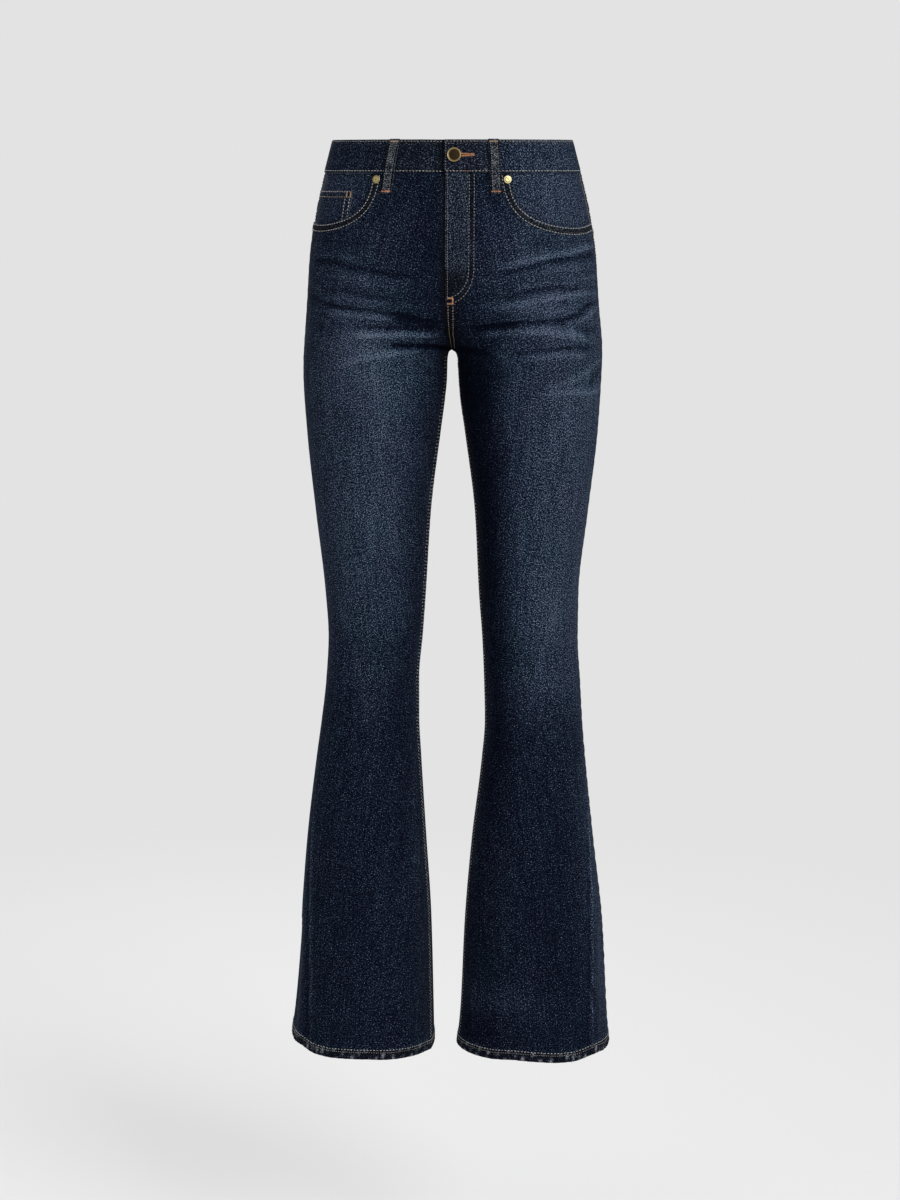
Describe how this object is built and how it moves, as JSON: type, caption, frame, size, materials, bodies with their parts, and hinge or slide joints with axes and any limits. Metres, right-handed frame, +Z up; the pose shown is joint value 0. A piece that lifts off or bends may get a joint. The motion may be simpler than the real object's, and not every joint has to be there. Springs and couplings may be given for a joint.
{
  "type": "flared jeans",
  "caption": "Flared jeans with a waistband, belt loops, zip fly, curved front pockets, coin pocket, back yoke and patch pockets, filled out and hollow, open at the waist and both hems.",
  "frame": {"origin": "middle of the waist ring, halfway up the waistband and 20 mm below its top edge, where a wearer or a hanger holds the jeans up", "axes": "+Z up from the hems to the waist, the front faces -Y, +X towards the wearer's left"},
  "size_m": [0.4038, 0.2381, 1.1209],
  "materials": {
    "indigo_denim": "washed indigo twill denim, matte with a soft nap",
    "dark_indigo_denim": "the same denim, less faded",
    "zip_tape": "woven zip tape with a metal chain",
    "old_brass": "aged brass, dark and low in gloss",
    "bright_brass": "brass, satin"
  },
  "bodies": {
    "root": {"front_left": "indigo_denim", "front_right": "indigo_denim", "back_left": "indigo_denim", "back_right": "indigo_denim", "yoke_left": "indigo_denim", "yoke_right": "indigo_denim", "waistband": "indigo_denim", "pocket_bearer_left": "dark_indigo_denim", "pocket_bearer_right": "dark_indigo_denim", "coin_pocket": "dark_indigo_denim", "back_pocket_left": "indigo_denim", "back_pocket_right": "indigo_denim", "fly_shield": "dark_indigo_denim", "zip": "zip_tape", "belt_loop_front_left": "indigo_denim", "belt_loop_front_right": "indigo_denim", "belt_loop_back_left": "indigo_denim", "belt_loop_back_right": "indigo_denim", "belt_loop_back_centre": "indigo_denim", "button": "old_brass", "rivet_left": "bright_brass", "rivet_right": "bright_brass"}
  },
  "joints": []
}
